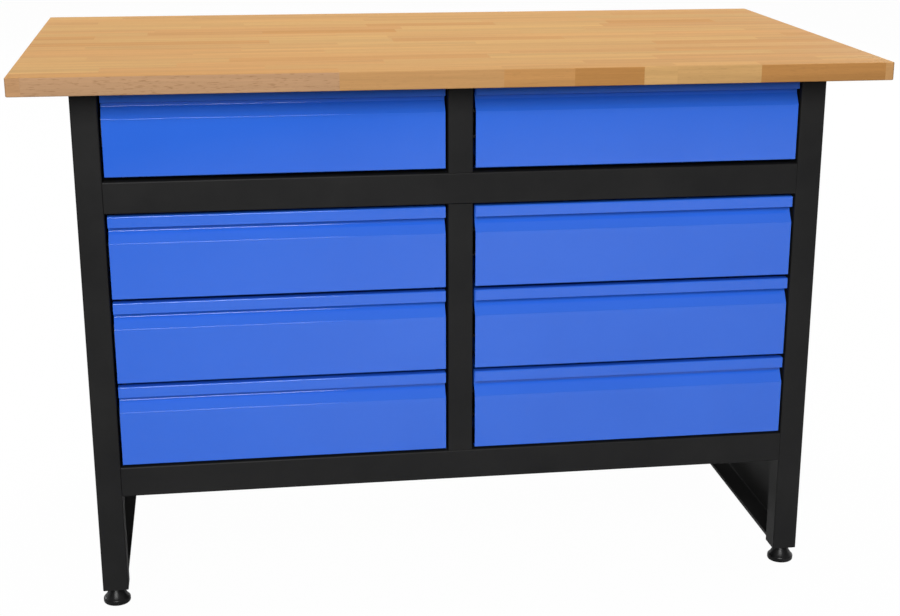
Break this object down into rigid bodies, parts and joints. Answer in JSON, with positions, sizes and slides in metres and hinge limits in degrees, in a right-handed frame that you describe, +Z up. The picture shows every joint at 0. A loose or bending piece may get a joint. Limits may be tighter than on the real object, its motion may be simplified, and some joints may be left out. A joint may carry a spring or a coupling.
{
  "type": "workbench",
  "caption": "Steel workbench with a laminated wood top, two columns of inset pull-out drawers with folded finger grips, open space below and screw-in levelling feet.",
  "frame": {"origin": "on the floor, under the middle of the worktop", "axes": "+X to the right seen from the drawer side, +Y to the back, +Z up; the drawers open towards -Y"},
  "size_m": [1.35, 0.77, 0.88],
  "materials": {
    "laminated_wood": "finger-jointed staves, clear oiled satin",
    "frame_paint": "black powder coat, satin",
    "drawer_paint": "blue powder coat, gloss",
    "zinc_steel": "bright zinc plate",
    "foot_plastic": "black moulded plastic"
  },
  "bodies": {
    "frame": {"worktop": "laminated_wood", "leg_front_left": "frame_paint", "leg_rear_left": "frame_paint", "leg_front_right": "frame_paint", "leg_rear_right": "frame_paint", "side_panel_left": "frame_paint", "side_panel_right": "frame_paint", "mid_rail_front": "frame_paint", "bottom_rail_front": "frame_paint", "bottom_rail_rear": "frame_paint", "top_rail_rear": "frame_paint", "upper_post": "frame_paint", "lower_post": "frame_paint", "rear_post": "frame_paint", "back_panel": "frame_paint", "bottom_panel": "frame_paint", "leg_base_plates": "frame_paint", "worktop_screws": "zinc_steel", "frame_bolts": "zinc_steel", "outer_slides": "zinc_steel"},
    "left_drawer_1": {"left_drawer_1_front": "drawer_paint", "left_drawer_1_tray": "drawer_paint", "left_drawer_1_inner_slides": "zinc_steel"},
    "left_runner_1": {"left_drawer_1_middle_slides": "zinc_steel"},
    "left_drawer_2": {"left_drawer_2_front": "drawer_paint", "left_drawer_2_tray": "drawer_paint", "left_drawer_2_inner_slides": "zinc_steel"},
    "left_runner_2": {"left_drawer_2_middle_slides": "zinc_steel"},
    "left_drawer_3": {"left_drawer_3_front": "drawer_paint", "left_drawer_3_tray": "drawer_paint", "left_drawer_3_inner_slides": "zinc_steel"},
    "left_runner_3": {"left_drawer_3_middle_slides": "zinc_steel"},
    "left_drawer_4": {"left_drawer_4_front": "drawer_paint", "left_drawer_4_tray": "drawer_paint", "left_drawer_4_inner_slides": "zinc_steel"},
    "left_runner_4": {"left_drawer_4_middle_slides": "zinc_steel"},
    "right_drawer_1": {"right_drawer_1_front": "drawer_paint", "right_drawer_1_tray": "drawer_paint", "right_drawer_1_inner_slides": "zinc_steel"},
    "right_runner_1": {"right_drawer_1_middle_slides": "zinc_steel"},
    "right_drawer_2": {"right_drawer_2_front": "drawer_paint", "right_drawer_2_tray": "drawer_paint", "right_drawer_2_inner_slides": "zinc_steel"},
    "right_runner_2": {"right_drawer_2_middle_slides": "zinc_steel"},
    "right_drawer_3": {"right_drawer_3_front": "drawer_paint", "right_drawer_3_tray": "drawer_paint", "right_drawer_3_inner_slides": "zinc_steel"},
    "right_runner_3": {"right_drawer_3_middle_slides": "zinc_steel"},
    "right_drawer_4": {"right_drawer_4_front": "drawer_paint", "right_drawer_4_tray": "drawer_paint", "right_drawer_4_inner_slides": "zinc_steel"},
    "right_runner_4": {"right_drawer_4_middle_slides": "zinc_steel"},
    "foot_front_left": {"foot_front_left_pad": "foot_plastic", "foot_front_left_stud": "zinc_steel"},
    "foot_rear_left": {"foot_rear_left_pad": "foot_plastic", "foot_rear_left_stud": "zinc_steel"},
    "foot_front_right": {"foot_front_right_pad": "foot_plastic", "foot_front_right_stud": "zinc_steel"},
    "foot_rear_right": {"foot_rear_right_pad": "foot_plastic", "foot_rear_right_stud": "zinc_steel"}
  },
  "joints": [
    {"name": "left_drawer_1_slide", "type": "slide", "parent": "frame", "child": "left_drawer_1", "axis": [0, -1, 0], "range_m": [0, 0.55]},
    {"name": "left_runner_1_slide", "type": "slide", "parent": "frame", "child": "left_runner_1", "axis": [0, -1, 0], "range_m": [0, 0.275]},
    {"name": "left_drawer_2_slide", "type": "slide", "parent": "frame", "child": "left_drawer_2", "axis": [0, -1, 0], "range_m": [0, 0.55]},
    {"name": "left_runner_2_slide", "type": "slide", "parent": "frame", "child": "left_runner_2", "axis": [0, -1, 0], "range_m": [0, 0.275]},
    {"name": "left_drawer_3_slide", "type": "slide", "parent": "frame", "child": "left_drawer_3", "axis": [0, -1, 0], "range_m": [0, 0.55]},
    {"name": "left_runner_3_slide", "type": "slide", "parent": "frame", "child": "left_runner_3", "axis": [0, -1, 0], "range_m": [0, 0.275]},
    {"name": "left_drawer_4_slide", "type": "slide", "parent": "frame", "child": "left_drawer_4", "axis": [0, -1, 0], "range_m": [0, 0.55]},
    {"name": "left_runner_4_slide", "type": "slide", "parent": "frame", "child": "left_runner_4", "axis": [0, -1, 0], "range_m": [0, 0.275]},
    {"name": "right_drawer_1_slide", "type": "slide", "parent": "frame", "child": "right_drawer_1", "axis": [0, -1, 0], "range_m": [0, 0.55]},
    {"name": "right_runner_1_slide", "type": "slide", "parent": "frame", "child": "right_runner_1", "axis": [0, -1, 0], "range_m": [0, 0.275]},
    {"name": "right_drawer_2_slide", "type": "slide", "parent": "frame", "child": "right_drawer_2", "axis": [0, -1, 0], "range_m": [0, 0.55]},
    {"name": "right_runner_2_slide", "type": "slide", "parent": "frame", "child": "right_runner_2", "axis": [0, -1, 0], "range_m": [0, 0.275]},
    {"name": "right_drawer_3_slide", "type": "slide", "parent": "frame", "child": "right_drawer_3", "axis": [0, -1, 0], "range_m": [0, 0.55]},
    {"name": "right_runner_3_slide", "type": "slide", "parent": "frame", "child": "right_runner_3", "axis": [0, -1, 0], "range_m": [0, 0.275]},
    {"name": "right_drawer_4_slide", "type": "slide", "parent": "frame", "child": "right_drawer_4", "axis": [0, -1, 0], "range_m": [0, 0.55]},
    {"name": "right_runner_4_slide", "type": "slide", "parent": "frame", "child": "right_runner_4", "axis": [0, -1, 0], "range_m": [0, 0.275]},
    {"name": "foot_front_left_level", "type": "slide", "parent": "frame", "child": "foot_front_left", "axis": [0, 0, -1], "range_m": [0, 0.025]},
    {"name": "foot_rear_left_level", "type": "slide", "parent": "frame", "child": "foot_rear_left", "axis": [0, 0, -1], "range_m": [0, 0.025]},
    {"name": "foot_front_right_level", "type": "slide", "parent": "frame", "child": "foot_front_right", "axis": [0, 0, -1], "range_m": [0, 0.025]},
    {"name": "foot_rear_right_level", "type": "slide", "parent": "frame", "child": "foot_rear_right", "axis": [0, 0, -1], "range_m": [0, 0.025]}
  ],
  "couplings": [
    {"joint": "left_runner_1_slide", "follows": "left_drawer_1_slide", "ratio": 0.5},
    {"joint": "left_runner_2_slide", "follows": "left_drawer_2_slide", "ratio": 0.5},
    {"joint": "left_runner_3_slide", "follows": "left_drawer_3_slide", "ratio": 0.5},
    {"joint": "left_runner_4_slide", "follows": "left_drawer_4_slide", "ratio": 0.5},
    {"joint": "right_runner_1_slide", "follows": "right_drawer_1_slide", "ratio": 0.5},
    {"joint": "right_runner_2_slide", "follows": "right_drawer_2_slide", "ratio": 0.5},
    {"joint": "right_runner_3_slide", "follows": "right_drawer_3_slide", "ratio": 0.5},
    {"joint": "right_runner_4_slide", "follows": "right_drawer_4_slide", "ratio": 0.5}
  ]
}
